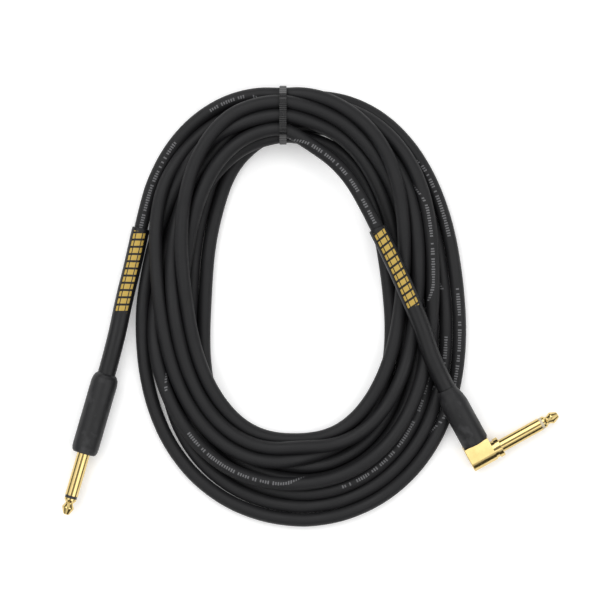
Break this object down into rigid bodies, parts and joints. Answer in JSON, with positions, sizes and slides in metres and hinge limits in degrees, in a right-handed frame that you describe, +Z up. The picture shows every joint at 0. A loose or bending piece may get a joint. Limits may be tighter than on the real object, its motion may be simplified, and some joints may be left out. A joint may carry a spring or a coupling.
{
  "type": "instrument cable",
  "caption": "Coiled black instrument cable with a straight gold phone plug on one end and a right-angled one on the other, its turns held by a black nylon tie.",
  "frame": {"origin": "on the surface that the cable lies on, under the middle of the box that holds the two plugs with their sleeves and the tie", "axes": "+X from the straight plug's side to the right-angled plug's side, +Y towards the tie, +Z up out of the surface"},
  "size_m": [0.2412, 0.2144, 0.0233],
  "materials": {
    "gold_plate": "brass, gold plated and polished",
    "brass_bare": "bare turned brass",
    "insulator": "moulded black insulator",
    "tinned_steel": "tinned steel",
    "shrink": "matt black heat-shrink tube with faint scuffs",
    "printed_sleeve": "satin black heat-shrink sleeve with a plain gold band",
    "jacket": "matt black rubbery cable jacket",
    "liner": "pale paper-like insulating tube",
    "core_plastic": "translucent natural polyethylene",
    "copper": "stranded copper",
    "solder": "dull solder",
    "nylon": "glossy black nylon"
  },
  "bodies": {
    "root": {"straight_tip": "gold_plate", "straight_center_rod": "brass_bare", "straight_insulator_ring": "insulator", "straight_insulator_tube": "insulator", "straight_shaft": "gold_plate", "straight_rear_washer": "insulator", "straight_tip_lug": "tinned_steel", "straight_ground_clamp": "tinned_steel", "straight_core_wire": "copper", "straight_core_insulation": "core_plastic", "straight_shield_pigtail": "copper", "straight_solder_joints": "solder", "straight_barrel": "brass_bare", "straight_barrel_liner": "liner", "straight_barrel_shrink": "shrink", "straight_cable_sleeve": "printed_sleeve", "angle_tip": "gold_plate", "angle_center_rod": "brass_bare", "angle_insulator_ring": "insulator", "angle_insulator_tube": "insulator", "angle_shaft": "gold_plate", "angle_rear_washer": "insulator", "angle_tip_lug": "tinned_steel", "angle_head": "gold_plate", "angle_head_cap": "gold_plate", "angle_core_wire": "copper", "angle_core_insulation": "core_plastic", "angle_shield_pigtail": "copper", "angle_solder_joints": "solder", "angle_barrel": "brass_bare", "angle_barrel_liner": "liner", "angle_barrel_shrink": "shrink", "angle_cable_sleeve": "printed_sleeve", "cable_coil": "jacket", "cable_straight_tail": "jacket", "cable_angle_tail": "jacket", "cable_tie": "nylon"}
  },
  "joints": []
}
